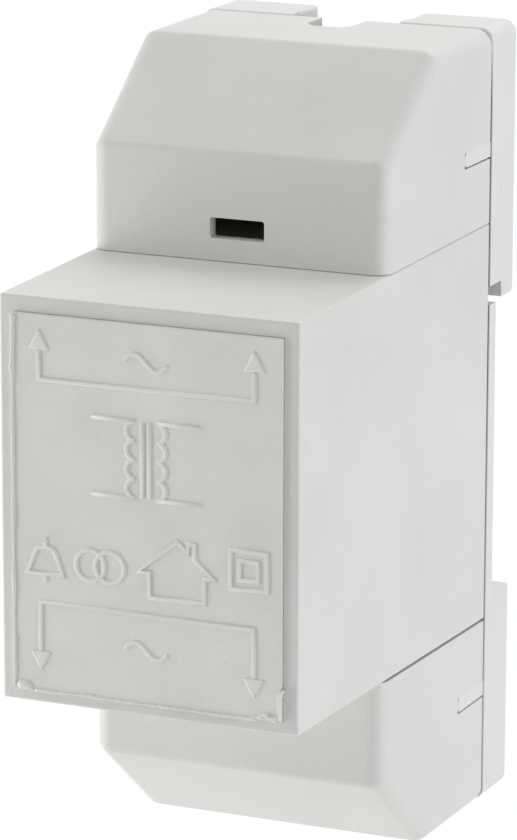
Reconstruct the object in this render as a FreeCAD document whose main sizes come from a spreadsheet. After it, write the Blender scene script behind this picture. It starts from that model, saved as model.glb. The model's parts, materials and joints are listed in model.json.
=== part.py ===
"""Doorbell transformer for a 35 mm mounting rail: housing, covers, base, rail latch and the works inside.

Frame: +X to the right, +Y to the rear and +Z up, as seen from the front. The origin is the middle of the
face that lies against the rail. Each sub-part is drawn about the housing's own centre line and then lifted
by rail_drop, because the rail runs a little below that line. All sizes are in millimetres.
"""
import FreeCAD, Part
import math
import os
import re
import Sketcher
from FreeCAD import Rotation, Vector

SIZES = {
    # Rail and the way the part sits on it
    "rail_height": 35.0,
    "rail_play": 0.25,
    "rail_drop": 1.85,
    "rail_slot": 1.6,
    "sill_drop": 1.15,
    # Main housing, a box that widens a little towards the rear
    "front_width": 34.9,
    "side_draft": 0.5,
    "front_height": 44.9,
    "end_draft": 0.85,
    "housing_depth": 52.4,
    "wall": 1.8,
    "housing_round": 0.3,
    # Front plate, welded into a seat in the housing a little below its middle
    "plate_width": 31.4,
    "plate_height": 41.6,
    "plate_drop": 0.15,
    "plate_rise": 0.45,
    "plate_seat": 1.1,
    "plate_play": 0.05,
    "plate_round": 0.15,
    # Ribs, screw bosses and lead gates inside the housing
    "rib_pitch": 10.0,
    "rib_thickness": 1.5,
    "stop_reach": 9.0,
    "boss_radius": 2.6,
    "boss_length": 9.0,
    "boss_pitch": 21.0,
    "boss_root": 0.3,
    "lead_gate_width": 16.0,
    "lead_room": 0.9,
    # Terminal covers
    "overall_height": 91.0,
    "cover_setback": 22.8,
    "slope_run": 13.5,
    "slope_rise": 10.45,
    "cover_wall": 1.5,
    "cover_round": 1.9,
    "slope_round": 1.1,
    "seam_gap": 0.15,
    "cover_sag": 0.08,
    "window_width": 6.5,
    "window_height": 2.3,
    "window_lift": 2.5,
    "window_round": 0.3,
    "scallop_width": 5.5,
    "scallop_depth": 5.6,
    "scallop_round": 2.0,
    # Rear base
    "base_gap": 0.5,
    "floor_thickness": 2.0,
    "block_depth": 5.1,
    "base_round": 1.5,
    "base_edge": 0.3,
    "channel_width": 13.2,
    "channel_round": 0.5,
    "lip_drop": 1.85,
    "hook_gap": 2.2,
    "lip_round": 0.6,
    "wire_notch": 6.0,
    "pocket_wall": 1.6,
    "tongue_lift": 31.75,
    "tongue_height": 1.65,
    "tongue_length": 7.9,
    "tongue_thickness": 1.3,
    "tongue_round": 0.7,
    "tongue_play": 0.1,
    "pillar_radius": 3.0,
    "pillar_pitch": 26.0,
    "fence_thickness": 1.2,
    "fence_height": 5.0,
    # Rail latch and its spring
    "latch_play": 0.25,
    "guide_width": 11.0,
    "neck_width": 8.4,
    "groove_depth": 2.6,
    "latch_foot": 0.5,
    "nose_bevel": 1.6,
    "pry_width": 4.6,
    "pry_height": 1.6,
    "pry_lift": 2.2,
    "spring_length": 8.5,
    "spring_radius": 1.1,
    "spring_wire": 0.5,
    "spring_turns": 6.0,
    "stop_height": 1.5,
    "stop_width": 2.8,
    # Base screws
    "screw_radius": 1.1,
    "screw_play": 0.1,
    "screw_length": 8.0,
    "head_radius": 2.5,
    "head_height": 1.2,
    "drive_width": 0.7,
    "drive_depth": 0.6,
    # Transformer core of E and I sheets, all from the width of an outer leg
    "leg": 6.4,
    "stack": 17.0,
    "core_setback": 10.8,
    "core_play": 0.1,
    # Bobbin, windings and tape
    "bobbin_play": 0.15,
    "bobbin_wall": 0.85,
    "flange_thickness": 1.2,
    "flange_reach": 4.4,
    "winding_room": 0.6,
    "winding_round": 2.0,
    "tape_thickness": 0.25,
    "pin_radius": 0.5,
    "pin_length": 4.2,
    "pin_seat": 0.8,
    "pin_pitch_across": 20.0,
    "pin_pitch_up": 8.0,
    "cutout_radius": 2.0,
    "cutout_length": 9.0,
    "cutout_across": 6.0,
    # Terminal blocks with their clamps and screws
    "block_width": 22.0,
    "block_height": 12.0,
    "block_length": 14.0,
    "block_stand": 2.3,
    "way_pitch": 11.0,
    "way_width": 7.0,
    "way_height": 7.6,
    "way_depth": 10.5,
    "entry_radius": 2.1,
    "lead_hole_radius": 1.0,
    "clamp_play": 0.15,
    "clamp_length": 8.0,
    "clamp_hole_radius": 1.9,
    "clamp_screw_radius": 1.25,
    "clamp_screw_play": 0.05,
    "clamp_screw_length": 4.0,
    "clamp_head_radius": 2.4,
    "clamp_head_height": 1.6,
    # Leads from the bobbin pins to the clamps
    "lead_radius": 0.8,
    "lead_bend": 1.6,
    "lead_drop": 4.8,
}

# Places that follow from the sizes, in the housing's own frame: y from the rail face, z from the centre line
DERIVED = {
    "floor_front": "-floor_thickness",
    "housing_rear": "floor_front - base_gap",
    "housing_front": "housing_rear - housing_depth",
    "half_front": "front_height / 2",
    "half_rear": "half_front + end_draft",
    "half_total": "overall_height / 2",
    "half_base": "front_width / 2 + side_draft",
    "rise": "end_draft / housing_depth",
    "spread": "side_draft / housing_depth",
    "cavity_front": "housing_front + wall",
    "plate_low": "-plate_height / 2 - plate_drop",
    "plate_high": "plate_height / 2 - plate_drop",
    "cover_front": "housing_front + cover_setback",
    "cover_rear": "housing_rear",
    "slope_top": "cover_front + slope_run",
    "slope_foot": "half_total - slope_rise",
    "slope_lean": "slope_rise / slope_run",
    "slope_skin": "cover_wall * sqrt(1 + slope_lean * slope_lean)",
    "seam_front": "half_front + rise * cover_setback + seam_gap",
    "seam_rear": "half_rear + seam_gap",
    "cover_half_front": "front_width / 2 + spread * cover_setback",
    "hook_roof": "rail_height / 2 + rail_play - rail_drop",
    "rail_sill": "-(rail_height / 2 + rail_play + rail_drop)",
    "block_sill": "rail_sill - sill_drop",
    "boss_across": "half_base - wall - boss_radius + boss_root",
    "boss_up": "boss_pitch / 2",
    "core_front": "housing_front + core_setback",
    "core_rear": "core_front + 5 * leg",
    "leg_front": "core_front + leg",
    "leg_rear": "core_rear - leg",
    "tube_across": "stack / 2 + bobbin_play + bobbin_wall",
    "tube_up": "leg + bobbin_play + bobbin_wall",
    "flange_across": "tube_across + flange_reach",
    "flange_up": "2 * leg - bobbin_play",
    "bobbin_front": "leg_front + bobbin_play",
    "bobbin_rear": "leg_rear - bobbin_play",
    "primary_front": "bobbin_front + flange_thickness",
    "divider_front": "(bobbin_front + bobbin_rear - flange_thickness) / 2",
    "divider_rear": "(bobbin_front + bobbin_rear + flange_thickness) / 2",
    "secondary_rear": "bobbin_rear - flange_thickness",
    "winding_across": "flange_across - winding_room",
    "winding_up": "flange_up - winding_room",
    "pin_rear": "bobbin_rear + pin_length",
    "cutout_depth": "core_rear + core_play + cutout_radius",
    "block_low": "half_rear + block_stand",
    "block_top": "block_low + block_height",
    "block_mid": "block_low + block_height / 2",
    "block_front": "floor_front - block_length",
    "way_floor": "block_front + way_depth",
    "clamp_rear": "way_floor - clamp_play",
    "clamp_front": "clamp_rear - clamp_length",
    "clamp_mid": "(clamp_front + clamp_rear) / 2",
    "gate_front": "clamp_mid - lead_radius - lead_room",
    "latch_top": "rail_sill - latch_play",
    "latch_low": "latch_foot - half_total",
    "spring_top": "(latch_top + latch_low + spring_length) / 2",
    "spring_low": "spring_top - spring_length",
    "spring_depth": "latch_play + spring_radius + spring_wire",
    "lead_turn": "half_rear - wall - lead_drop",
    "lead_crossing": "pin_rear + 2 * lead_bend",
    "cutout_top": "-leg / 2",
    "cutout_foot": "cutout_top - cutout_length",
}

doc = FreeCAD.newDocument("DoorbellTransformer")
sub_parts = []


def fill_sheet():
    """Put every driving size into the sheet, with its name as the cell's alias."""
    sheet = doc.addObject("Spreadsheet::Sheet", "Sizes")
    for row, (alias, number) in enumerate(SIZES.items(), start=1):
        sheet.set(f"A{row}", alias)
        sheet.set(f"B{row}", str(number))
        sheet.setAlias(f"B{row}", alias)
    doc.recompute()
    return sheet


sizes = fill_sheet()


def bound(text):
    """Spell out a formula in size names and derived names as an expression on the sheet."""
    def spell(match):
        word = match.group(0)
        if word in SIZES:
            return f"Sizes.{word}"
        if word in DERIVED:
            return f"({bound(DERIVED[word])})"
        return word
    return re.sub(r"[a-z_]\w*", spell, text)


def value(text):
    """Work out the same formula as a number."""
    return float(sizes.evalExpression(bound(text)))


def keep(piece, label, turned=False):
    """Name a finished sub-part and lift it to its place on the rail, half a turn round if it is a twin."""
    piece.Label = label
    if turned:
        piece.Placement.Rotation = Rotation(Vector(0, 1, 0), 180)
    piece.setExpression("Placement.Base.z", bound("rail_drop"))
    sub_parts.append(piece)
    return piece


def new_body(name):
    """Start a body for a piece that is built from sketches."""
    return doc.addObject("PartDesign::Body", name)


def new_sketch(body, name, plane, at):
    """Add a sketch on a plane of its own body; at is x, y or z along the plane's normal."""
    sketch = body.newObject("Sketcher::SketchObject", name)
    support = next(item for item in body.Origin.OriginFeatures if item.Role == f"{plane}_Plane")
    sketch.AttachmentSupport = [(support, "")]
    sketch.MapMode = "FlatFace"
    sign = "-" if plane == "XZ" else ""
    sketch.setExpression("AttachmentOffset.Base.z", bound(f"{sign}({at})"))
    return sketch


def pin_point(sketch, geometry, point, across, up):
    """Tie one sketch point to a place that the sheet gives."""
    for kind, text in (("DistanceX", across), ("DistanceY", up)):
        index = sketch.addConstraint(Sketcher.Constraint(kind, -1, 1, geometry, point, value(text)))
        sketch.setExpression(f"Constraints[{index}]", bound(text))


def outline(sketch, corners):
    """Draw a closed outline of straight lines through corners that the sheet places."""
    first = sketch.GeometryCount
    count = len(corners)
    spots = [Vector(value(across), value(up), 0) for across, up in corners]
    for index in range(count):
        sketch.addGeometry(Part.LineSegment(spots[index], spots[(index + 1) % count]), False)
    for index in range(count):
        following = first + (index + 1) % count
        sketch.addConstraint(Sketcher.Constraint("Coincident", first + index, 2, following, 1))
    for index, (across, up) in enumerate(corners):
        pin_point(sketch, first + index, 1, across, up)


def rectangle(sketch, left, right, low, high):
    """Draw a rectangle between four places that the sheet gives."""
    outline(sketch, [(left, low), (right, low), (right, high), (left, high)])


def disc(sketch, across, up, radius):
    """Draw a circle whose centre and radius the sheet gives."""
    circle = Part.Circle(Vector(value(across), value(up), 0), Vector(0, 0, 1), value(radius))
    index = sketch.addGeometry(circle, False)
    pin_point(sketch, index, 3, across, up)
    size = sketch.addConstraint(Sketcher.Constraint("Radius", index, value(radius)))
    sketch.setExpression(f"Constraints[{size}]", bound(radius))


def pad(body, sketch, length, backward=False, both_ways=False):
    """Raise a sketch along its normal; both_ways centres the length on the sketch."""
    feature = body.newObject("PartDesign::Pad", f"{sketch.Name}Pad")
    feature.Profile = sketch
    feature.setExpression("Length", bound(length))
    feature.Reversed = backward
    if both_ways:
        feature.SideType = "Symmetric"
    doc.recompute()
    return feature


def pocket(body, sketch, length, backward=False, both_ways=False):
    """Cut a sketch into its body, and stop if the cut met nothing."""
    before = body.Shape.Volume
    feature = body.newObject("PartDesign::Pocket", f"{sketch.Name}Pocket")
    feature.Profile = sketch
    feature.setExpression("Length", bound(length))
    feature.Reversed = backward
    if both_ways:
        feature.SideType = "Symmetric"
    doc.recompute()
    if body.Shape.Volume >= before:
        raise RuntimeError(f"{feature.Name} cuts nothing")
    return feature


def loft(body, kind, first, second):
    """Join two outlines with flat sides, as a solid or as a cut."""
    feature = body.newObject(f"PartDesign::{kind}Loft", f"{first.Name}Loft")
    feature.Profile = first
    feature.Sections = [second]
    feature.Ruled = True
    doc.recompute()
    return feature


def round_edges(body, name, radius, wanted):
    """Round those edges of the body so far that the given test picks out."""
    base = body.Tip
    feature = body.newObject("PartDesign::Fillet", name)
    names = [f"Edge{index}" for index, edge in enumerate(base.Shape.Edges, 1) if wanted(edge)]
    if not names:
        raise RuntimeError(f"{name} finds no edge")
    feature.Base = (base, names)
    feature.setExpression("Radius", bound(radius))
    doc.recompute()
    return feature


def runs_along(edge, axis, slack=0.1):
    """Say whether a straight edge lies along an axis, give or take a draft."""
    if edge.Degenerated or edge.Curve.TypeId != "Part::GeomLine":
        return False
    first, last = edge.Vertexes[0].Point, edge.Vertexes[-1].Point
    return (last - first).normalize().cross(axis).Length < slack


def middle(edge):
    """Give the middle of an edge's box."""
    return edge.BoundBox.Center


def near(first, second):
    """Say whether two lengths are the same within a small slack."""
    return abs(first - second) < SLACK


SLACK = 0.02
ALONG_X = Vector(1, 0, 0)
ALONG_Y = Vector(0, 1, 0)
SIDES = (("Left", "-"), ("Right", ""))
ENDS = (("Low", "-"), ("High", ""))


def both_signs(places):
    """Repeat (across, up) places on both sides and both ends of the centre lines."""
    return [(f"{side}({across})", f"{end}({up})")
            for across, up in places for _, side in SIDES for _, end in ENDS]


# Main housing

def make_housing():
    """Box open at the rear, with a seat for the front plate, core ribs, screw bosses and lead gates."""
    body = new_body("Housing")
    rear = new_sketch(body, "HousingRear", "XZ", "housing_rear")
    rectangle(rear, "-half_base", "half_base", "-half_rear", "half_rear")
    front = new_sketch(body, "HousingFront", "XZ", "housing_front")
    rectangle(front, "-front_width / 2", "front_width / 2", "-half_front", "half_front")
    loft(body, "Additive", rear, front)
    rear_y = value("housing_rear") - SLACK
    round_edges(body, "HousingRound", "housing_round", lambda edge: edge.BoundBox.YMin < rear_y)

    cavity = new_sketch(body, "CavityRear", "XZ", "housing_rear")
    rectangle(cavity, "wall - half_base", "half_base - wall", "wall - half_rear", "half_rear - wall")
    deep = new_sketch(body, "CavityFront", "XZ", "cavity_front")
    across = "(front_width / 2 + (spread - 1) * wall)"
    up = "(half_front + (rise - 1) * wall)"
    rectangle(deep, f"-{across}", across, f"-{up}", up)
    loft(body, "Subtractive", cavity, deep)

    seat = new_sketch(body, "PlateSeat", "XZ", "housing_front")
    rectangle(seat, "-(plate_width / 2 + plate_play)", "plate_width / 2 + plate_play",
              "plate_low - plate_play", "plate_high + plate_play")
    pocket(body, seat, "plate_seat")

    for side, sign in SIDES:
        ribs = new_sketch(body, f"Ribs{side}", "YZ", f"{sign}rib_pitch / 2 - rib_thickness / 2")
        for _, end in ENDS:
            rib_outline(ribs, end)
        pad(body, ribs, "rib_thickness")

    bosses = new_sketch(body, "Bosses", "XZ", "housing_rear")
    for across, up in both_signs([("boss_across", "boss_up")]):
        disc(bosses, across, up, "boss_radius")
    pad(body, bosses, "boss_length")
    pilots = new_sketch(body, "Pilots", "XZ", "housing_rear")
    for across, up in both_signs([("boss_across", "boss_up")]):
        disc(pilots, across, up, "screw_radius + screw_play")
    pocket(body, pilots, "boss_length", backward=True)

    gates = new_sketch(body, "LeadGates", "XY", "0")
    rectangle(gates, "-lead_gate_width / 2", "lead_gate_width / 2",
              "gate_front", "housing_rear + base_gap")
    pocket(body, gates, "overall_height", both_ways=True)
    keep(body, "main_housing")


def rib_outline(sketch, end):
    """Draw one L-shaped rib: its long arm guides the core's edge and its short arm stops the core's front."""
    sunk_front = "half_front + rise * wall / 2 - wall / 2"
    sunk_rear = "half_front + rise * (core_rear - housing_front) - wall / 2"
    guide = "3 * leg + core_play"
    inner = "half_front - wall - stop_reach"
    stop = "core_front - core_play"
    root = "housing_front + (plate_seat + wall) / 2"
    corners = [(root, sunk_front), (root, inner), (stop, inner),
               (stop, guide), ("core_rear", guide), ("core_rear", sunk_rear)]
    outline(sketch, [(depth, f"{end}({up})") for depth, up in corners])


def make_plate():
    """Flat marking plate that stands a little proud of its seat."""
    body = new_body("FrontPlate")
    face = new_sketch(body, "PlateFace", "XZ", "housing_front + plate_seat")
    rectangle(face, "-plate_width / 2", "plate_width / 2", "plate_low", "plate_high")
    pad(body, face, "plate_seat + plate_rise")
    front_y = value("housing_front - plate_rise")
    round_edges(body, "PlateRound", "plate_round", lambda edge: near(edge.BoundBox.YMax, front_y))
    keep(body, "front_plate")


# Terminal covers

def make_cover(name, label, turned):
    """Hollow cap over one terminal chamber, open to the rear and to the housing, hanging on its tongues."""
    body = new_body(name)
    shell = new_sketch(body, f"{name}Shell", "YZ", "0")
    outline(shell, [("cover_front", "seam_front"), ("cover_front", "slope_foot"), ("slope_top", "half_total"),
                    ("cover_rear", "half_total"), ("cover_rear", "seam_rear")])
    pad(body, shell, "2 * (half_base + cover_wall)", both_ways=True)

    trims = new_sketch(body, f"{name}Trims", "XY", "0")
    for _, sign in SIDES:
        outside = f"{sign}(half_base + 2 * cover_wall)"
        outline(trims, [(f"{sign}cover_half_front", "cover_front"), (f"{sign}half_base", "cover_rear"),
                        (outside, "cover_rear"), (outside, "cover_front")])
    pocket(body, trims, "overall_height", backward=True)

    front_y, top_z = value("cover_front"), value("half_total")
    foot_z, slope_y = value("slope_foot"), value("slope_top")
    rear_y, seam_z = value("cover_rear"), value("seam_rear")

    def is_slope_edge(edge):
        spot = middle(edge)
        at_foot = near(spot.y, front_y) and near(spot.z, foot_z)
        at_top = near(spot.y, slope_y) and near(spot.z, top_z)
        return runs_along(edge, ALONG_X) and (at_foot or at_top)

    def is_side_edge(edge):
        box = edge.BoundBox
        at_rear = near(box.YMin, rear_y)
        at_seam = box.ZMax < seam_z + SLACK
        return box.XLength < value("cover_wall") and not at_rear and not at_seam

    round_edges(body, f"{name}SlopeRound", "slope_round", is_slope_edge)
    round_edges(body, f"{name}SideRound", "cover_round", is_side_edge)

    hollow = new_sketch(body, f"{name}Hollow", "YZ", "0")
    inner_front = "cover_front + cover_wall"
    below = "2 * cover_wall"
    outline(hollow, [
        (inner_front, f"seam_front - {below}"),
        (inner_front, "slope_foot + slope_lean * cover_wall - slope_skin"),
        ("cover_front + (slope_rise - cover_wall + slope_skin) / slope_lean", "half_total - cover_wall"),
        ("cover_rear + cover_wall", "half_total - cover_wall"),
        ("cover_rear + cover_wall", f"seam_rear - {below}")])
    pocket(body, hollow, "2 * (cover_half_front - cover_wall)", both_ways=True)

    window = new_sketch(body, f"{name}Window", "XZ", "cover_front")
    rectangle(window, "-window_width / 2", "window_width / 2",
              "seam_front + window_lift", "seam_front + window_lift + window_height")
    pocket(body, window, "2 * cover_wall")

    def is_window_corner(edge):
        spot = middle(edge)
        mid_z = value("seam_front + window_lift + window_height / 2")
        inside = abs(spot.x) < value("window_width / 2") + SLACK
        return runs_along(edge, ALONG_Y) and inside and abs(spot.z - mid_z) < value("window_height")

    round_edges(body, f"{name}WindowRound", "window_round", is_window_corner)

    scallop = new_sketch(body, f"{name}Scallop", "XY", "half_total")
    rectangle(scallop, "-scallop_width / 2", "scallop_width / 2",
              "cover_rear - scallop_depth", "cover_rear + cover_wall")
    pocket(body, scallop, "2 * cover_wall")
    end_y = value("cover_rear - scallop_depth")

    def is_scallop_corner(edge):
        spot = middle(edge)
        return near(spot.y, end_y) and near(abs(spot.x), value("scallop_width / 2"))

    round_edges(body, f"{name}ScallopRound", "scallop_round", is_scallop_corner)

    slots = new_sketch(body, f"{name}Slots", "YZ", "0")
    reach = "(tongue_height / 2 + tongue_play)"
    rectangle(slots, "floor_front - tongue_length - tongue_play", "cover_rear + cover_wall",
              f"tongue_lift - {reach}", f"tongue_lift + {reach}")
    pocket(body, slots, "4 * half_base", both_ways=True)
    keep(body, label, turned)
    body.setExpression("Placement.Base.z", bound("rail_drop - cover_sag"))


# Rear base

def make_base():
    """Back plate with rail hooks, latch guide, cover tongues, core pillars and terminal fences."""
    body = new_body("Base")
    floor = new_sketch(body, "Floor", "XZ", "0")
    rectangle(floor, "-half_base", "half_base", "-half_total", "half_total")
    pad(body, floor, "floor_thickness")

    blocks = new_sketch(body, "Blocks", "XZ", "0")
    rectangle(blocks, "-half_base", "-channel_width / 2", "hook_roof", "half_total")
    rectangle(blocks, "channel_width / 2", "half_base", "hook_roof", "half_total")
    rectangle(blocks, "-half_base", "half_base", "-half_total", "block_sill")
    pad(body, blocks, "block_depth", backward=True)

    gaps = new_sketch(body, "HookGaps", "XZ", "0")
    lips = new_sketch(body, "HookLips", "XZ", "rail_slot")
    for _, sign in SIDES:
        inner, outer = f"{sign}channel_width / 2", f"{sign}half_base"
        rectangle(gaps, inner, outer, "hook_roof - hook_gap", "hook_roof")
        rectangle(lips, inner, outer, "hook_roof - lip_drop", "hook_roof")
    pad(body, lips, "block_depth - rail_slot", backward=True)
    pocket(body, gaps, "floor_thickness", backward=True)

    guide = new_sketch(body, "LatchGuide", "XY", "rail_sill")
    wide, neck = "guide_width / 2", "neck_width / 2"
    outline(guide, [(f"-{wide}", "0"), (wide, "0"), (wide, "groove_depth"), (neck, "groove_depth"),
                    (neck, "block_depth + wall"), (f"-{neck}", "block_depth + wall"),
                    (f"-{neck}", "groove_depth"), (f"-{wide}", "groove_depth")])
    pocket(body, guide, "overall_height")
    relief = new_sketch(body, "LatchRelief", "XZ", "0")
    rectangle(relief, f"-{wide}", wide, "-half_total", "rail_sill + lip_drop + latch_play")
    pocket(body, relief, "latch_play", backward=True)
    round_base(body)

    notch = new_sketch(body, "WireNotch", "XZ", "0")
    rectangle(notch, "-channel_width / 2", "channel_width / 2",
              "half_total - wire_notch", "half_total + wall")
    pocket(body, notch, "floor_thickness", backward=True)

    hollows = new_sketch(body, "BlockHollows", "XZ", "block_depth")
    skin = "pocket_wall"
    for _, sign in SIDES:
        inner, outer = f"{sign}(channel_width / 2 + {skin})", f"{sign}(half_base - {skin})"
        for low, high in (("hook_roof", "half_total"), ("-half_total", "block_sill")):
            centre = f"({low} + {high}) / 2"
            rectangle(hollows, inner, outer, f"{low} + {skin}", f"{centre} - {skin} / 2")
            rectangle(hollows, inner, outer, f"{centre} + {skin} / 2", f"{high} - {skin}")
    pocket(body, hollows, "block_depth", backward=True)

    tongues = new_sketch(body, "Tongues", "XZ", "floor_front + base_edge")
    for _, side in SIDES:
        for _, end in ENDS:
            rectangle(tongues, f"{side}(half_base - tongue_thickness)", f"{side}(half_base - tongue_play)",
                      f"{end}(tongue_lift - tongue_height / 2)", f"{end}(tongue_lift + tongue_height / 2)")
    pad(body, tongues, "base_edge + tongue_length")
    tip_y = value("floor_front - tongue_length")
    round_edges(body, "TongueRound", "tongue_round",
                lambda edge: near(middle(edge).y, tip_y) and runs_along(edge, ALONG_X))

    pillars = new_sketch(body, "Pillars", "XZ", "floor_front")
    for _, end in ENDS:
        disc(pillars, "0", f"{end}pillar_pitch / 2", "pillar_radius")
    pad(body, pillars, "floor_front - core_rear - core_play")

    fences = new_sketch(body, "Fences", "XZ", "floor_front")
    near_side = "block_width / 2 + clamp_play"
    for _, side in SIDES:
        for _, end in ENDS:
            rectangle(fences, f"{side}({near_side})", f"{side}({near_side} + fence_thickness)",
                      f"{end}block_low", f"{end}block_top")
    pad(body, fences, "fence_height")

    stop = new_sketch(body, "SpringStop", "XZ", "-latch_play")
    rectangle(stop, "-stop_width / 2", "stop_width / 2", "spring_low - stop_height", "spring_low")
    pad(body, stop, "latch_play + spring_depth + spring_radius", backward=True)

    sinks = new_sketch(body, "ScrewSinks", "XZ", "0")
    holes = new_sketch(body, "ScrewHoles", "XZ", "0")
    for across, up in both_signs([("boss_across", "boss_up")]):
        disc(sinks, across, up, "head_radius + screw_play")
        disc(holes, across, up, "screw_radius + screw_play")
    pocket(body, holes, "floor_thickness", backward=True)
    pocket(body, sinks, "head_height", backward=True)
    keep(body, "rear_base")


def round_base(body):
    """Round the base's outer corners and front edge, the channel's mouth, the hook lips and the sill."""
    half, top = value("half_base"), value("half_total")
    mouth, rear_y, front_y = value("channel_width / 2"), value("block_depth"), value("floor_front")
    lip_z, sill_z = value("hook_roof - lip_drop"), value("block_sill")

    def is_corner(edge):
        spot = middle(edge)
        return runs_along(edge, ALONG_Y) and near(abs(spot.x), half) and near(abs(spot.z), top)

    def is_mouth(edge):
        spot = middle(edge)
        return runs_along(edge, ALONG_Y) and near(abs(spot.x), mouth) and near(spot.z, top)

    def is_lip(edge):
        spot = middle(edge)
        at_rail = near(spot.z, lip_z) or near(spot.z, sill_z)
        return runs_along(edge, ALONG_X) and near(spot.y, rear_y) and at_rail

    def is_front(edge):
        spot, box = middle(edge), edge.BoundBox
        at_side = near(abs(spot.x), half) or near(abs(spot.z), top)
        at_corner = edge.Curve.TypeId == "Part::GeomCircle"
        return near(box.YMax, front_y) and (at_side or at_corner)

    round_edges(body, "BaseRound", "base_round", is_corner)
    round_edges(body, "BaseFront", "base_edge", is_front)
    round_edges(body, "MouthRound", "channel_round", is_mouth)
    round_edges(body, "LipRound", "lip_round", is_lip)


# Rail latch

def make_latch():
    """T-shaped slider that hooks behind the rail's lower edge, with a pry slot and a room for its spring."""
    body = new_body("Latch")
    section = new_sketch(body, "LatchSection", "XY", "latch_low")
    wide, neck = "(guide_width / 2 - latch_play)", "(neck_width / 2 - latch_play)"
    step = "groove_depth - latch_play"
    outline(section, [(f"-{wide}", "0"), (wide, "0"), (wide, step), (neck, step), (neck, "block_depth"),
                      (f"-{neck}", "block_depth"), (f"-{neck}", step), (f"-{wide}", step)])
    pad(body, section, "latch_top - latch_low")

    nose = new_sketch(body, "LatchNose", "YZ", "0")
    tip, root = "rail_sill + lip_drop", "latch_top - nose_bevel"
    outline(nose, [("rail_slot", root), ("rail_slot", tip), ("block_depth - nose_bevel", tip),
                   ("block_depth", f"{tip} - nose_bevel"), ("block_depth", root)])
    pad(body, nose, "neck_width - 2 * latch_play", both_ways=True)

    room = new_sketch(body, "SpringRoom", "XZ", "0")
    half = "(spring_radius + spring_wire + latch_play)"
    rectangle(room, f"-{half}", half, "spring_low - stop_height - latch_play", "spring_top")
    pocket(body, room, "2 * spring_depth - latch_play")

    pry = new_sketch(body, "PrySlot", "XZ", "0")
    rectangle(pry, "-pry_width / 2", "pry_width / 2",
              "latch_low + pry_lift", "latch_low + pry_lift + pry_height")
    pocket(body, pry, "2 * block_depth")
    keep(body, "rail_latch")


def make_spring():
    """Compression spring that holds the latch up behind the rail."""
    helix = doc.addObject("Part::Helix", "SpringLine")
    helix.setExpression("Radius", bound("spring_radius"))
    helix.setExpression("Pitch", bound("(spring_length - 2 * spring_wire) / spring_turns"))
    helix.setExpression("Height", bound("spring_length - 2 * spring_wire"))
    wire = doc.addObject("Part::Circle", "SpringWire")
    wire.setExpression("Radius", bound("spring_wire / 2"))
    wire.Placement.Rotation = Rotation(Vector(1, 0, 0), 90)
    wire.setExpression("Placement.Base.x", bound("spring_radius"))
    sweep = doc.addObject("Part::Sweep", "Spring")
    sweep.Sections = [wire]
    sweep.Spine = (helix, ["Edge1"])
    sweep.Solid = True
    sweep.Frenet = True
    keep(sweep, "latch_spring")
    sweep.setExpression("Placement.Base.y", bound("spring_depth"))
    sweep.setExpression("Placement.Base.z", bound("rail_drop + spring_low + spring_wire"))


# Fasteners

def new_cylinder(name, radius, height, place, turn=Rotation()):
    """Add a plain cylinder with bound sizes; its axis is +Z before the turn."""
    piece = doc.addObject("Part::Cylinder", name)
    piece.setExpression("Radius", bound(radius))
    piece.setExpression("Height", bound(height))
    piece.Placement.Rotation = turn
    for axis, text in zip("xyz", place):
        piece.setExpression(f"Placement.Base.{axis}", bound(text))
    return piece


def new_box(name, across, deep, tall, place):
    """Add a plain box with bound sizes; place is its lowest corner."""
    piece = doc.addObject("Part::Box", name)
    for size, text in (("Length", across), ("Width", deep), ("Height", tall)):
        piece.setExpression(size, bound(text))
    for axis, text in zip("xyz", place):
        piece.setExpression(f"Placement.Base.{axis}", bound(text))
    return piece


def cut(name, base, tool):
    """Take one piece away from another."""
    piece = doc.addObject("Part::Cut", name)
    piece.Base = base
    piece.Tool = tool
    return piece


def fuse(name, pieces):
    """Join pieces into one solid."""
    piece = doc.addObject("Part::MultiFuse", name)
    piece.Shapes = pieces
    piece.Refine = True
    return piece


def group(name, pieces):
    """Hold like pieces together as separate solids of one sub-part."""
    piece = doc.addObject("Part::Compound", name)
    piece.Links = pieces
    return piece


FACING_REAR = Rotation(Vector(1, 0, 0), -90)
FACING_FRONT = Rotation(Vector(1, 0, 0), 90)


def make_base_screws():
    """Four screws that hold the base to the housing, sunk into the floor that faces the rail."""
    screws = []
    for number, (across, up) in enumerate(both_signs([("boss_across", "boss_up")]), 1):
        name = f"BaseScrew{number}"
        head = new_cylinder(f"{name}Head", "head_radius", "head_height",
                            (across, "-head_height", up), FACING_REAR)
        shank = new_cylinder(f"{name}Shank", "screw_radius", "screw_length",
                             (across, "-head_height", up), FACING_FRONT)
        slot = new_box(f"{name}Slot", "2 * head_radius", "2 * drive_depth", "drive_width",
                       (f"{across} - head_radius", "-drive_depth", f"{up} - drive_width / 2"))
        screws.append(cut(name, fuse(f"{name}Blank", [head, shank]), slot))
    keep(group("BaseScrews", screws), "base_screws")


# Transformer

def make_core():
    """Stack of E sheets with its back to the front, closed at the rear by a stack of I sheets."""
    body = new_body("CoreE")
    sheet = new_sketch(body, "SheetE", "YZ", "0")
    back, tip = "core_front", "leg_rear"
    outline(sheet, [(back, "-3 * leg"), (tip, "-3 * leg"), (tip, "-2 * leg"), ("leg_front", "-2 * leg"),
                    ("leg_front", "-leg"), (tip, "-leg"), (tip, "leg"), ("leg_front", "leg"),
                    ("leg_front", "2 * leg"), (tip, "2 * leg"), (tip, "3 * leg"), (back, "3 * leg")])
    pad(body, sheet, "stack", both_ways=True)
    keep(body, "core_e_stack")
    yoke = new_body("CoreI")
    sheet = new_sketch(yoke, "SheetI", "YZ", "0")
    rectangle(sheet, "leg_rear", "core_rear", "-3 * leg", "3 * leg")
    pad(yoke, sheet, "stack", both_ways=True)
    keep(yoke, "core_i_stack")


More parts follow.
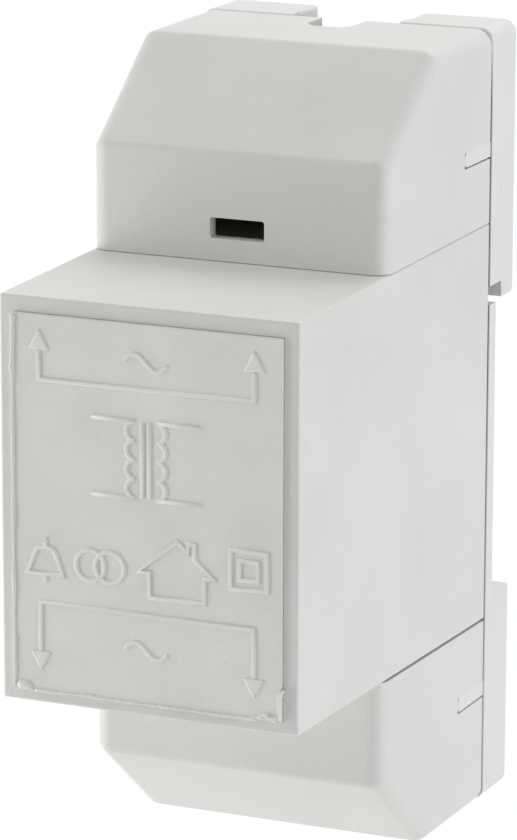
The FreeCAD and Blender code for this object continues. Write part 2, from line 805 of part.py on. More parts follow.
def make_bobbin():
    """Split bobbin round the middle leg: a square tube, two end flanges and a divider between windings."""
    body = new_body("Bobbin")
    tube = new_sketch(body, "BobbinTube", "XZ", "bobbin_front")
    rectangle(tube, "-tube_across", "tube_across", "-tube_up", "tube_up")
    pad(body, tube, "bobbin_rear - bobbin_front", backward=True)
    flanges = (("Front", "bobbin_front"), ("Divider", "divider_front"), ("Rear", "secondary_rear"))
    for name, start in flanges:
        flange = new_sketch(body, f"Flange{name}", "XZ", start)
        rectangle(flange, "-flange_across", "flange_across", "-flange_up", "flange_up")
        pad(body, flange, "flange_thickness", backward=True)
    bore = new_sketch(body, "BobbinBore", "XZ", "bobbin_front")
    rectangle(bore, "-(stack / 2 + bobbin_play)", "stack / 2 + bobbin_play",
              "-(leg + bobbin_play)", "leg + bobbin_play")
    pocket(body, bore, "bobbin_rear - bobbin_front")
    seats = new_sketch(body, "PinSeats", "XZ", "bobbin_rear")
    for across, up in both_signs([("pin_pitch_across / 2", "pin_pitch_up / 2")]):
        disc(seats, across, up, "pin_radius")
    pocket(body, seats, "pin_seat", backward=True)
    keep(body, "bobbin")


def make_ring(name, label, start, end, outer, inner, corner):
    """Close-wound ring round the bobbin between two places, with rounded outer corners."""
    body = new_body(name)
    section = new_sketch(body, f"{name}Section", "XZ", start)
    for across, up in (outer, inner):
        rectangle(section, f"-({across})", across, f"-({up})", up)
    pad(body, section, f"{end} - ({start})", backward=True)
    reach = value(outer[0])

    def is_outer(edge):
        return runs_along(edge, ALONG_Y) and near(abs(middle(edge).x), reach)

    round_edges(body, f"{name}Round", corner, is_outer)
    if inner != TUBE:
        hollow = value(inner[0])
        round_edges(body, f"{name}InnerRound", "winding_round",
                    lambda edge: runs_along(edge, ALONG_Y) and near(abs(middle(edge).x), hollow))
    keep(body, label)


TUBE = ("tube_across", "tube_up")
WOUND = ("winding_across", "winding_up")
TAPED = ("winding_across + tape_thickness", "winding_up + tape_thickness")


def make_windings():
    """Primary winding in the front half of the bobbin, secondary in the rear half, each under its tape."""
    halves = (("Primary", "primary", "primary_front", "divider_front"),
              ("Secondary", "secondary", "divider_rear", "secondary_rear"))
    for name, label, start, end in halves:
        make_ring(f"{name}Winding", f"{label}_winding", start, end, WOUND, TUBE, "winding_round")
        make_ring(f"{name}Tape", f"{label}_tape", start, end, TAPED, WOUND, "winding_round + tape_thickness")


def make_pins():
    """Four solder pins pressed into the bobbin's rear flange."""
    pins = []
    for number, (across, up) in enumerate(both_signs([("pin_pitch_across / 2", "pin_pitch_up / 2")]), 1):
        pins.append(new_cylinder(f"Pin{number}", "pin_radius", "pin_length + pin_seat",
                                 (across, "bobbin_rear - pin_seat", up), FACING_REAR))
    keep(group("Pins", pins), "bobbin_pins")


def make_cutout():
    """Thermal cut-out in one primary lead, lying against the core's rear."""
    piece = new_cylinder("CutOut", "cutout_radius", "cutout_length",
                         ("cutout_across", "cutout_depth", "cutout_foot"))
    keep(group("CutOutHolder", [piece]), "thermal_cutout")


# Terminals

def make_terminal_block(name, label, turned):
    """Two-way block on the base: clamp chambers open to the front, wire entries at the end of the case."""
    body = new_body(name)
    case = new_sketch(body, f"{name}Case", "XZ", "floor_front")
    rectangle(case, "-block_width / 2", "block_width / 2", "block_low", "block_top")
    pad(body, case, "block_length")
    ways = new_sketch(body, f"{name}Ways", "XZ", "block_front")
    entries = new_sketch(body, f"{name}Entries", "XY", "block_top")
    leads = new_sketch(body, f"{name}Leads", "XY", "block_low")
    for _, side in SIDES:
        across = f"{side}way_pitch / 2"
        rectangle(ways, f"{across} - way_width / 2", f"{across} + way_width / 2",
                  "block_mid - way_height / 2", "block_mid + way_height / 2")
        disc(entries, across, "clamp_mid", "entry_radius")
        disc(leads, across, "clamp_mid", "lead_hole_radius")
    pocket(body, ways, "way_depth")
    pocket(body, entries, "block_height / 2")
    pocket(body, leads, "block_height / 2", backward=True)
    keep(body, label, turned)


def make_clamps(name, label, turned):
    """Two clamp cages, each with a hole for the wire and a tapped hole for its screw."""
    cages = []
    for side, sign in SIDES:
        across = f"{sign}way_pitch / 2"
        half, tall = "(way_width / 2 - clamp_play)", "(way_height - 2 * clamp_play)"
        block = new_box(f"{name}{side}Block", f"2 * {half}", "clamp_length", tall,
                        (f"{across} - {half}", "clamp_front", f"block_mid - {tall} / 2"))
        wire = new_cylinder(f"{name}{side}Wire", "clamp_hole_radius", "block_height",
                            (across, "clamp_mid", "block_low"))
        tap = new_cylinder(f"{name}{side}Tap", "clamp_screw_radius + clamp_screw_play", "clamp_length / 2",
                           (across, "clamp_front", "block_mid"), FACING_REAR)
        cages.append(cut(f"{name}{side}", block, fuse(f"{name}{side}Holes", [wire, tap])))
    keep(group(name, cages), label, turned)


def make_clamp_screws(name, label, turned):
    """Two slotted screws, one in the front of each clamp cage."""
    screws = []
    for side, sign in SIDES:
        across = f"{sign}way_pitch / 2"
        head = new_cylinder(f"{name}{side}Head", "clamp_head_radius", "clamp_head_height",
                            (across, "clamp_front", "block_mid"), FACING_FRONT)
        shank = new_cylinder(f"{name}{side}Shank", "clamp_screw_radius", "clamp_screw_length",
                             (across, "clamp_front", "block_mid"), FACING_REAR)
        slot = new_box(f"{name}{side}Slot", "2 * clamp_head_radius", "2 * drive_depth", "drive_width",
                       (f"{across} - clamp_head_radius", "clamp_front - clamp_head_height - drive_depth",
                        "block_mid - drive_width / 2"))
        screws.append(cut(f"{name}{side}", fuse(f"{name}{side}Blank", [head, shank]), slot))
    keep(group(name, screws), label, turned)


# Leads

def bent_wire(points, radius, bend):
    """Round wire along straight runs that meet in tangent arcs of one bend radius."""
    edges = []
    start = points[0]
    for before, corner, after in zip(points, points[1:], points[2:]):
        arriving = (corner - before).normalize()
        leaving = (after - corner).normalize()
        turn = math.acos(max(-1.0, min(1.0, arriving.dot(leaving))))
        reach = bend * math.tan(turn / 2)
        entry, leave = corner - arriving * reach, corner + leaving * reach
        inward = (leaving - arriving).normalize()
        crown = corner + inward * (bend / math.cos(turn / 2) - bend)
        edges.append(Part.LineSegment(start, entry).toShape())
        edges.append(Part.Arc(entry, crown, leave).toShape())
        start = leave
    edges.append(Part.LineSegment(start, points[-1]).toShape())
    path = Part.Wire(edges)
    circle = Part.Wire([Part.Circle(points[0], points[1] - points[0], radius).toShape()])
    return path.makePipeShell([circle], True, False)


def lead_points(route):
    """Turn a route of formulas into points."""
    return [Vector(*(value(text) for text in place)) for place in route]


def make_leads():
    """Insulated leads from the pins, round the screw bosses and through the lead gates to the clamps."""
    radius, bend = value("lead_radius"), value("lead_bend")

    def straight_up(side):
        pin, way = f"{side}pin_pitch_across / 2", f"{side}way_pitch / 2"
        return lead_points([(pin, "pin_rear", "pin_pitch_up / 2"), (pin, "lead_crossing", "pin_pitch_up / 2"),
                            (way, "clamp_mid", "lead_turn"), (way, "clamp_mid", "block_low")])

    secondary = [bent_wire(straight_up(sign), radius, bend) for _, sign in SIDES]
    secondary_leads = doc.addObject("Part::Feature", "SecondaryLeads")
    secondary_leads.Shape = Part.Compound(secondary)
    keep(secondary_leads, "secondary_leads")

    to_cutout = lead_points([
        ("pin_pitch_across / 2", "pin_rear", "-pin_pitch_up / 2"),
        ("pin_pitch_across / 2", "lead_crossing", "-pin_pitch_up / 2"),
        ("cutout_across", "lead_crossing", "cutout_top + 2 * lead_bend"),
        ("cutout_across", "cutout_depth", "cutout_top + lead_bend"),
        ("cutout_across", "cutout_depth", "cutout_top")])
    from_cutout = lead_points([
        ("cutout_across", "cutout_depth", "cutout_foot"),
        ("cutout_across", "cutout_depth", "cutout_foot - lead_bend"),
        ("way_pitch / 2", "clamp_mid", "-(lead_turn)"), ("way_pitch / 2", "clamp_mid", "-block_low")])
    half_turn = Rotation(Vector(0, 1, 0), 180)
    direct = [half_turn.multVec(point) for point in straight_up("")]
    primary = [bent_wire(points, radius, bend) for points in (direct, to_cutout, from_cutout)]
    primary_leads = doc.addObject("Part::Feature", "PrimaryLeads")
    primary_leads.Shape = Part.Compound(primary)
    keep(primary_leads, "primary_leads")


# Build, test and write

def write_parts():
    """Stop at any failed object or bad solid, then write one file for each sub-part."""
    doc.recompute()
    failed = [item.Name for item in doc.Objects if {"Invalid", "Error"} & set(item.State)]
    if failed:
        raise RuntimeError(f"objects in error: {failed}")
    for piece in sub_parts:
        if piece.Shape.isNull() or not piece.Shape.isValid() or not piece.Shape.Solids:
            raise RuntimeError(f"{piece.Label} has no sound solid")
    os.makedirs("parts", exist_ok=True)
    for piece in sub_parts:
        piece.Shape.exportStep(f"parts/{piece.Label}.step")
        solids = piece.Shape.Solids
        print(f"{piece.Label}: {len(solids)} solid(s), {sum(solid.Volume for solid in solids):.1f} mm3")


make_housing()
make_plate()
make_base()
make_latch()
make_spring()
make_base_screws()
make_core()
make_bobbin()
make_windings()
make_pins()
make_cutout()
for where, turned in (("Upper", False), ("Lower", True)):
    label = where.lower()
    make_cover(f"{where}Cover", f"{label}_terminal_cover", turned)
    make_terminal_block(f"{where}Block", f"{label}_terminal_block", turned)
    make_clamps(f"{where}Clamps", f"{label}_terminal_clamps", turned)
    make_clamp_screws(f"{where}Screws", f"{label}_terminal_screws", turned)
make_leads()
write_parts()
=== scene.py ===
"""Looks of the doorbell transformer: finishes for the CAD pieces, marks on the plate, light and camera.

Lengths in the classes below are millimetres in the part's own frame: +X right, +Y to the rear, +Z up.
"""

import json
import logging
import math
from dataclasses import dataclass
from enum import Enum
from typing import Any, Sequence

import bmesh
import bpy
import numpy as np
from mathutils import Matrix, Vector

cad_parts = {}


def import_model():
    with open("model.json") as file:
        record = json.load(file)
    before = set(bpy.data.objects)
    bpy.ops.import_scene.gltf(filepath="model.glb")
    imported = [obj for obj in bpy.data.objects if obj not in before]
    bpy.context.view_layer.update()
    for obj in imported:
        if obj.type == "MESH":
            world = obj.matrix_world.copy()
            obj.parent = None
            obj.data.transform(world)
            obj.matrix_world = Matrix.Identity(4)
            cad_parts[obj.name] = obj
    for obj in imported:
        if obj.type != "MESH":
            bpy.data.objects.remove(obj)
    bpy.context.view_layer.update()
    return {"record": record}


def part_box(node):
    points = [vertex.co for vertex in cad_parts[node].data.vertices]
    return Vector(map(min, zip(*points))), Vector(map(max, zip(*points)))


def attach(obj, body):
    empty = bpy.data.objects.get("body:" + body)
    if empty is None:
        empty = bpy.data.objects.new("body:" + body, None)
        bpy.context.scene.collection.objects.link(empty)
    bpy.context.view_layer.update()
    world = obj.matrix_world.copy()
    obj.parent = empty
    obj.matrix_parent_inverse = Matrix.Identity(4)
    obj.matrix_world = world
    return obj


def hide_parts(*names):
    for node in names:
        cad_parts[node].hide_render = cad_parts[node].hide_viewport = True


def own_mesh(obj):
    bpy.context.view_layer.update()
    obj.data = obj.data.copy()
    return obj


LOG = logging.getLogger("doorbell_transformer")
MM = 0.001
BODY = "base"
PURE_WHITE = (1.0, 1.0, 1.0, 1.0)

# Points closer than this are one point of a mesh.
MERGE_MM = 0.002
# Longest sideways step at a sharp corner of a ridge, in half widths, and the least value of its divisor.
MITRE_LIMIT = 1.6
MITRE_LEAST = 0.3
# Share of its height that a ridge keeps at an open end, and of its half width over which it narrows there.
END_HEIGHT = 0.3
END_EASE = 0.6
# Socket numbers of the Mix node where it mixes colours.
MIX_SHARE, MIX_FIRST, MIX_SECOND, MIX_RESULT = 0, 6, 7, 2
# Distance between the bands of the Wave texture at a scale of 1.
WAVE_PERIOD = math.pi / 10

Grid = tuple[np.ndarray, np.ndarray]


# Node helpers

def linear(code: str) -> tuple[float, float, float, float]:
    """Turn an sRGB hex colour into the linear values that shaders use.

    Args:
        code: Six hex digits with a leading hash mark.

    Returns:
        Linear red, green and blue, and an alpha of 1.
    """
    srgb = np.array([int(code[start:start + 2], 16) for start in (1, 3, 5)]) / 255
    value = np.where(srgb <= 0.04045, srgb / 12.92, ((srgb + 0.055) / 1.055) ** 2.4)
    return (*value.tolist(), 1.0)


def add_node(tree: bpy.types.NodeTree, kind: str, settings: dict[str, Any] | None = None,
             sockets: dict[Any, Any] | None = None) -> bpy.types.Node:
    """Add a node, set its properties, and set or link its inputs.

    Args:
        tree: Node tree that gets the node.
        kind: Blender's type name of the node.
        settings: Property names with their values.
        sockets: Input names or numbers with a plain value or an output socket to link from.

    Returns:
        The new node.
    """
    node = tree.nodes.new(kind)
    for name, value in (settings or {}).items():
        setattr(node, name, value)
    for name, value in (sockets or {}).items():
        if isinstance(value, bpy.types.NodeSocket):
            tree.links.new(value, node.inputs[name])
        else:
            node.inputs[name].default_value = value
    return node


# Finishes

class Grain(Enum):
    """How the surface of a material was made, which decides its pattern."""

    MOULDED = "moulded"
    SHEETS = "stacked sheets"
    DRAWN = "drawn or turned metal"
    FILM = "stretched film"


# How often a noise pattern repeats along each axis, against its usual spacing.
GRAIN_STRETCH = {Grain.MOULDED: (1, 1, 1), Grain.DRAWN: (1, 0.15, 1), Grain.FILM: (1, 1, 0.2)}


@dataclass(frozen=True)
class PaintedJointShade:
    """Painted shade on the face that closes a joint, weaker towards the part's foot and falling to nothing at
    its head.
    """

    colour: str
    joint_mm: float
    full_mm: float = 0.06
    end_mm: float = 0.22
    head_mm: tuple[float, float] = (39.0, 46.0)
    foot_mm: tuple[float, float] = (-30.0, 8.0)
    foot_share: float = 0.6

    def lay(self, tree: bpy.types.NodeTree, place: bpy.types.NodeSocket,
            colour: bpy.types.NodeSocket) -> bpy.types.NodeSocket:
        """Lay the painted shade over a colour.

        Its share is a product of three straight falls: from 1 to 0 with the distance from the joint's
        plane, from 1 to 0 towards the head, and from 1 to foot_share towards the foot.

        Args:
            tree: Node tree of the material.
            place: Object coordinates.
            colour: Colour without the painted shade.

        Returns:
            The colour with the painted shade.
        """
        parts = add_node(tree, "ShaderNodeSeparateXYZ", {}, {"Vector": place})
        offset = add_node(tree, "ShaderNodeMath", {"operation": "SUBTRACT"},
                          {0: parts.outputs["Y"], 1: self.joint_mm * MM})
        away = add_node(tree, "ShaderNodeMath", {"operation": "ABSOLUTE"}, {0: offset.outputs[0]})
        falls = ((away.outputs[0], (self.full_mm, self.end_mm), (1.0, 0.0)),
                 (parts.outputs["Z"], self.head_mm, (1.0, 0.0)),
                 (parts.outputs["Z"], self.foot_mm, (self.foot_share, 1.0)))
        steps = [add_node(tree, "ShaderNodeMapRange", {},
                          {"Value": source, "From Min": span[0] * MM, "From Max": span[1] * MM,
                           "To Min": ends[0], "To Max": ends[1]}).outputs["Result"]
                 for source, span, ends in falls]
        share = steps[0]
        for step in steps[1:]:
            product = add_node(tree, "ShaderNodeMath", {"operation": "MULTIPLY"}, {0: share, 1: step})
            share = product.outputs[0]
        mix = add_node(tree, "ShaderNodeMix", {"data_type": "RGBA"},
                       {MIX_SHARE: share, MIX_FIRST: colour, MIX_SECOND: linear(self.colour)})
        return mix.outputs[MIX_RESULT]


@dataclass(frozen=True)
class Finish:
    """One real material with its colours, gloss and surface pattern."""

    name: str
    light: str
    dark: str
    roughness: float
    grain: Grain
    grain_mm: float
    relief_mm: float
    ior: float = 1.5
    metallic: float = 0.0
    cloud_mm: float = 14.0
    speck: str = ""
    speck_mm: float = 0.22
    speck_gap_mm: float = 3.6
    speck_depth: float = 0.7
    painted_shade: PaintedJointShade | None = None
    fine_share: float = 0.35
    cloud_span: tuple[float, float] = (0.4, 0.9)
    gloss_spread: float = 0.06
    bump_strength: float = 0.6

    def scale(self, size_mm: float) -> float:
        """Give the texture scale whose cells are as large as the given size."""
        return 1 / (size_mm * MM)

    def pattern(self, tree: bpy.types.NodeTree, place: bpy.types.NodeSocket) -> bpy.types.NodeSocket:
        """Add the texture that gives the fine relief of this kind of surface.

        Args:
            tree: Node tree of the material.
            place: Object coordinates.

        Returns:
            A grey value from 0 to 1.
        """
        if self.grain is Grain.SHEETS:
            wave = add_node(tree, "ShaderNodeTexWave", {"bands_direction": "X", "wave_profile": "SIN"},
                            {"Vector": place, "Scale": WAVE_PERIOD * self.scale(self.grain_mm),
                             "Distortion": 0.4, "Detail": 1.0})
            return wave.outputs["Fac"]
        turned = add_node(tree, "ShaderNodeMapping", {},
                          {"Vector": place, "Scale": GRAIN_STRETCH[self.grain]})
        noise = add_node(tree, "ShaderNodeTexNoise", {},
                         {"Vector": turned.outputs["Vector"], "Scale": self.scale(self.grain_mm),
                          "Detail": 3.0, "Roughness": 0.6})
        return noise.outputs["Fac"]

    def specked(self, tree: bpy.types.NodeTree, place: bpy.types.NodeSocket,
                colour: bpy.types.NodeSocket) -> bpy.types.NodeSocket:
        """Lay sparse dark specks over a colour: small balls at the middles of Voronoi cells.

        Args:
            tree: Node tree of the material.
            place: Object coordinates.
            colour: Colour without specks.

        Returns:
            The colour with specks.
        """
        cells = add_node(tree, "ShaderNodeTexVoronoi", {"feature": "F1"},
                         {"Vector": place, "Scale": self.scale(self.speck_gap_mm)})
        ball = add_node(tree, "ShaderNodeMapRange", {},
                        {"Value": cells.outputs["Distance"], "From Min": 0.0,
                         "From Max": self.speck_mm / 2 / self.speck_gap_mm,
                         "To Min": self.speck_depth, "To Max": 0.0})
        mix = add_node(tree, "ShaderNodeMix", {"data_type": "RGBA"},
                       {MIX_SHARE: ball.outputs["Result"], MIX_FIRST: colour, MIX_SECOND: linear(self.speck)})
        return mix.outputs[MIX_RESULT]

    def material(self) -> bpy.types.Material:
        """Build the material once: clouded colour, uneven gloss and a fine relief.

        Returns:
            The material of this finish.
        """
        made = bpy.data.materials.get(self.name)
        if made:
            return made
        made = bpy.data.materials.new(self.name)
        made.use_nodes = True
        tree = made.node_tree
        tree.nodes.clear()
        place = add_node(tree, "ShaderNodeTexCoord").outputs["Object"]
        fine = self.pattern(tree, place)
        cloud = add_node(tree, "ShaderNodeTexNoise", {},
                         {"Vector": place, "Scale": self.scale(self.cloud_mm), "Detail": 4.0})
        blend = add_node(tree, "ShaderNodeMath", {"operation": "MULTIPLY_ADD"},
                         {0: fine, 1: self.fine_share, 2: cloud.outputs["Fac"]})
        ramp = add_node(tree, "ShaderNodeValToRGB", {}, {"Fac": blend.outputs[0]})
        for stop, spot, code in zip(ramp.color_ramp.elements, self.cloud_span, (self.dark, self.light)):
            stop.position = spot
            stop.color = linear(code)
        colour = ramp.outputs["Color"]
        if self.speck:
            colour = self.specked(tree, place, colour)
        # Dark grey painted shade in the joint between base and case.
        if self.painted_shade:
            colour = self.painted_shade.lay(tree, place, colour)
        gloss = add_node(tree, "ShaderNodeMapRange", {},
                         {"Value": fine, "To Min": self.roughness - self.gloss_spread,
                          "To Max": self.roughness + self.gloss_spread})
        bump = add_node(tree, "ShaderNodeBump", {},
                        {"Height": fine, "Strength": self.bump_strength, "Distance": self.relief_mm * MM})
        shader = add_node(tree, "ShaderNodeBsdfPrincipled", {},
                          {"Base Color": colour, "Roughness": gloss.outputs["Result"],
                           "Normal": bump.outputs["Normal"], "Metallic": self.metallic, "IOR": self.ior})
        add_node(tree, "ShaderNodeOutputMaterial", {}, {"Surface": shader.outputs["BSDF"]})
        return made


# Dust moulded into the ABS: a few brownish grey specks about a fifth of a millimetre across.
SPECK = "#a5a295"
# ABS from a spark-eroded mould: a pale neutral grey with a matt grain and hardly any gloss. The real grain
# is finer than a pixel, so it is drawn 0.4 mm wide and deep enough to show.
CASE_ABS = Finish("case_abs_grey", "#e3e4e2", "#dbdcd9", 0.52, Grain.MOULDED, 0.4, 0.06, ior=1.53,
                  speck=SPECK)
# Painted shade on the base's front face, 2 mm before the rail seat, in the joint between base and case:
# a dark grey, so the joint shows as a dark line.
PAINTED_JOINT_SHADE = PaintedJointShade("#6f6c63", joint_mm=-2.0)
# The base's own batch of the same ABS: a trace lighter, with painted shade in its joint.
BASE_ABS = Finish("base_abs_grey", "#e7e8e7", "#e1e2e1", 0.50, Grain.MOULDED, 0.4, 0.05, ior=1.53,
                  speck=SPECK, painted_shade=PAINTED_JOINT_SHADE)
# The plate's ABS: the heat of the weld left it clouded, from a cool pale grey to a warmer one.
PLATE_ABS = Finish("plate_abs_grey", "#e9ebea", "#dfe0da", 0.52, Grain.MOULDED, 0.4, 0.06, ior=1.53,
                   cloud_mm=9.0, speck=SPECK)
# Signs from engraved lines in the mould: smoother than the grain round them. Their colour is a trace lighter
# than the plate's, a painted highlight on the raised lines.
SIGN_ABS_PAINTED_HIGHLIGHT = Finish("sign_abs_grey", "#eaebe8", "#e4e5e1", 0.44, Grain.MOULDED, 0.32, 0.006, ior=1.53)
# The same ABS where the weld squeezed it out: stretched thin, so it looks a little whiter; part of that
# whiteness is a painted highlight on the flash's lit edges.
FLASH_ABS = Finish("weld_flash_abs", "#ecece8", "#e2e2dd", 0.45, Grain.MOULDED, 0.25, 0.020, ior=1.53)
# Acetal slider from a polished mould: a darker grey with a soft shine.
LATCH_ACETAL = Finish("latch_acetal", "#a9aba9", "#9d9f9d", 0.36, Grain.MOULDED, 0.6, 0.004, ior=1.48)
# Spring wire: drawn steel with fine lines along the wire.
SPRING_STEEL = Finish("spring_wire_steel", "#a8a6a2", "#77767a", 0.30, Grain.DRAWN, 0.2, 0.004, metallic=1.0)
# Zinc plated screws: a slightly blue metal, dulled by its passivation.
ZINC_STEEL = Finish("zinc_plated_steel", "#b2b5b9", "#8e9298", 0.40, Grain.DRAWN, 0.3, 0.004, metallic=1.0)
# Stacked silicon steel: the sheets' edges show as fine lines 0.5 mm apart.
CORE_STEEL = Finish("stacked_core_steel", "#83868b", "#5d6065", 0.42, Grain.SHEETS, 0.5, 0.040, metallic=1.0)
# Glass-filled nylon bobbin: black with a grey bloom.
BOBBIN_NYLON = Finish("bobbin_nylon", "#26272a", "#17181a", 0.55, Grain.MOULDED, 0.4, 0.012, ior=1.53)
# Enamelled copper: orange-brown with a varnish shine over each turn.
ENAMEL_COPPER = Finish("enamelled_copper", "#b5622f", "#86411d", 0.25, Grain.DRAWN, 0.3, 0.003, metallic=1.0)
# Polyester film tape: yellow, glossy, with faint stretch lines.
FILM_TAPE = Finish("polyester_film_tape", "#e3b93c", "#cfa226", 0.22, Grain.FILM, 0.8, 0.006, ior=1.58)
# Tinned solder pins: a bright, slightly warm metal with fine drawing lines.
TINNED_PIN = Finish("tinned_pin", "#d2d1cc", "#b0afa9", 0.28, Grain.DRAWN, 0.2, 0.003, metallic=1.0)
# Ceramic case of the thermal cut-out: off-white with a dull glaze.
CUTOUT_CERAMIC = Finish("cutout_ceramic", "#e3ded0", "#d2ccbb", 0.4, Grain.MOULDED, 0.3, 0.006, ior=1.6)
# Polyamide terminal blocks: a yellowish grey with a soft shine.
BLOCK_NYLON = Finish("terminal_nylon", "#cfcec2", "#c1c0b3", 0.42, Grain.MOULDED, 0.4, 0.006, ior=1.53)
# Turned brass clamps: a yellow metal with fine tool lines.
CLAMP_BRASS = Finish("clamp_brass", "#d3b265", "#b08f45", 0.3, Grain.DRAWN, 0.25, 0.005, metallic=1.0)
# PVC insulation of the leads: smooth and evenly coloured, with a soft shine.
LEAD_BLUE = Finish("lead_pvc_blue", "#2f5aa3", "#274c8c", 0.38, Grain.MOULDED, 0.5, 0.004, ior=1.53)
LEAD_BROWN = Finish("lead_pvc_brown", "#6a4126", "#5a361e", 0.38, Grain.MOULDED, 0.5, 0.004, ior=1.53)


# Mesh helpers

def grid_faces(rows: int, columns: int, wrap_rows: bool, wrap_columns: bool) -> np.ndarray:
    """List the quads of a grid of points.

    Args:
        rows: Number of points along the first parameter.
        columns: Number of points along the second parameter.
        wrap_rows: Whether the last row joins the first.
        wrap_columns: Whether the last column joins the first.

    Returns:
        Four point numbers for each face.
    """
    row, column = np.meshgrid(np.arange(rows if wrap_rows else rows - 1),
                              np.arange(columns if wrap_columns else columns - 1), indexing="ij")
    row, column = row.ravel(), column.ravel()
    next_row, next_column = (row + 1) % rows, (column + 1) % columns
    return np.stack([row * columns + column, next_row * columns + column,
                     next_row * columns + next_column, row * columns + next_column], axis=1)


def make_piece(name: str, grids: Sequence[Grid], finish: Finish) -> bpy.types.Object:
    """Join grids of points in millimetres into one closed, shaded piece that rides on the case.

    Args:
        name: Name of the piece.
        grids: Points and faces of each surface.
        finish: Material of the piece.

    Returns:
        The new object.
    """
    counts = np.cumsum([0] + [len(points) for points, _ in grids])
    points = np.concatenate([points for points, _ in grids]) * MM
    faces = np.concatenate([faces + start for (_, faces), start in zip(grids, counts)])
    mesh = bpy.data.meshes.new(name)
    mesh.from_pydata(points.tolist(), [], faces.tolist())
    work = bmesh.new()
    work.from_mesh(mesh)
    bmesh.ops.remove_doubles(work, verts=work.verts, dist=MERGE_MM * MM)
    bmesh.ops.recalc_face_normals(work, faces=work.faces)
    work.to_mesh(mesh)
    work.free()
    mesh.shade_smooth()
    mesh.materials.append(finish.material())
    piece = bpy.data.objects.new(name, mesh)
    bpy.context.scene.collection.objects.link(piece)
    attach(piece, BODY)
    LOG.info("%s: %d faces", name, len(mesh.polygons))
    return piece


def mitred_normals(path: np.ndarray, closed: bool) -> np.ndarray:
    """Give each path point a sideways vector that keeps the width of a ridge even round corners.

    The vector is the sum of the two neighbouring unit normals over one plus their dot product, held to
    MITRE_LIMIT at sharp corners.

    Args:
        path: Points in the plane, one to a row.
        closed: Whether the last point joins the first.

    Returns:
        One vector for each point.
    """
    ahead = np.roll(path, -1, axis=0) - path
    if not closed:
        ahead[-1] = ahead[-2]
    ahead = ahead / np.linalg.norm(ahead, axis=1, keepdims=True)
    normal = np.stack([-ahead[:, 1], ahead[:, 0]], axis=1)
    before = np.roll(normal, 1, axis=0)
    if not closed:
        before[0] = normal[0]
    dot = np.sum(normal * before, axis=1, keepdims=True)
    mitre = (normal + before) / np.maximum(1 + dot, MITRE_LEAST)
    length = np.linalg.norm(mitre, axis=1, keepdims=True)
    return mitre * np.minimum(1, MITRE_LIMIT / length)


def ridge(path: np.ndarray, face: float, width: float | np.ndarray, height: float | np.ndarray, sunk: float,
          flatness: float, closed: bool = False, across: int = 9) -> Grid:
    """Carry a crowned profile along a path that lies on a face looking to -Y.

    Across the ridge, with s from -1 to 1, the height is height * (1 - |s|^flatness)^0.5, sampled more
    closely at its edges. The profile is closed by a flat underside a little below the face, and an open
    path ends in points.

    Args:
        path: Points (x, z) of the middle line.
        face: Y of the face that carries the ridge.
        width: Full width, one number or one for each point.
        height: Height over the face, one number or one for each point.
        sunk: Depth of the underside below the face.
        flatness: Power that makes the crown round when low and flat-topped when high.
        closed: Whether the path is a loop.
        across: Number of points over the crown.

    Returns:
        Points and faces of the ridge.
    """
    count = len(path)
    half = np.broadcast_to(np.asarray(width, float) / 2, (count,)).copy()
    tall = np.broadcast_to(np.asarray(height, float), (count,)).copy()
    if not closed:
        half[[0, -1]] = 0
        tall[[0, -1]] *= END_HEIGHT
    s = np.sin(np.linspace(-0.5, 0.5, across) * np.pi)
    crown = np.sqrt(np.maximum(0, 1 - np.abs(s) ** flatness))
    s = np.concatenate([s, [1, -1]])
    rise = np.concatenate([crown, [0, 0]])
    under = np.concatenate([np.zeros(across), [1, 1]])
    side = mitred_normals(path, closed)
    flat = path[:, None, :] + side[:, None, :] * (half[:, None] * s)[:, :, None]
    depth = face - tall[:, None] * rise + sunk * under
    points = np.stack([flat[:, :, 0], depth, flat[:, :, 1]], axis=2)
    return points.reshape(-1, 3), grid_faces(count, len(s), closed, True)


def eased_ends(path: np.ndarray, half: float) -> np.ndarray:
    """Add a point near each end of an open path, so that its ridge narrows only at its very ends.

    Args:
        path: Points (x, z) of the middle line.
        half: Half the ridge's width.

    Returns:
        The path with two more points.
    """
    first = path[1] - path[0]
    last = path[-2] - path[-1]
    near_first = path[0] + first / np.linalg.norm(first) * half * END_EASE
    near_last = path[-1] + last / np.linalg.norm(last) * half * END_EASE
    return np.concatenate([path[:1], [near_first], path[1:-1], [near_last], path[-1:]])


def plateau(corners: np.ndarray, face: float, height: float, sunk: float, steps: int = 7,
            per_side: int = 8, power: int = 12) -> Grid:
    """Raise a convex outline into a low flat-topped block with a rounded edge.

    With r from 0 at the middle to 1 at the outline, the height is height * (1 - r^power)^0.5.

    Args:
        corners: Points (x, z) of the outline.
        face: Y of the face that carries the block.
        height: Height over the face.
        sunk: Depth of the underside below the face.
        steps: Number of rings from the middle to the outline.
        per_side: Number of points on each side of the outline.
        power: How flat the top is.

    Returns:
        Points and faces of the block.
    """
    share = (np.arange(per_side) / per_side)[None, :, None]
    ahead = np.roll(corners, -1, axis=0)
    edge = (corners[:, None, :] * (1 - share) + ahead[:, None, :] * share).reshape(-1, 2)
    middle = corners.mean(axis=0)
    r = np.concatenate([1 - np.linspace(1, 0, steps) ** 2, [1, 0]])
    tall = np.concatenate([np.sqrt(np.maximum(0, 1 - r[:steps] ** power)) * height, [-sunk, -sunk]])
    flat = middle + r[:, None, None] * (edge - middle)[None]
    depth = np.broadcast_to((face - tall)[:, None], flat.shape[:2])
    points = np.stack([flat[:, :, 0], depth, flat[:, :, 1]], axis=2)
    return points.reshape(-1, 3), grid_faces(len(r), len(edge), False, True)


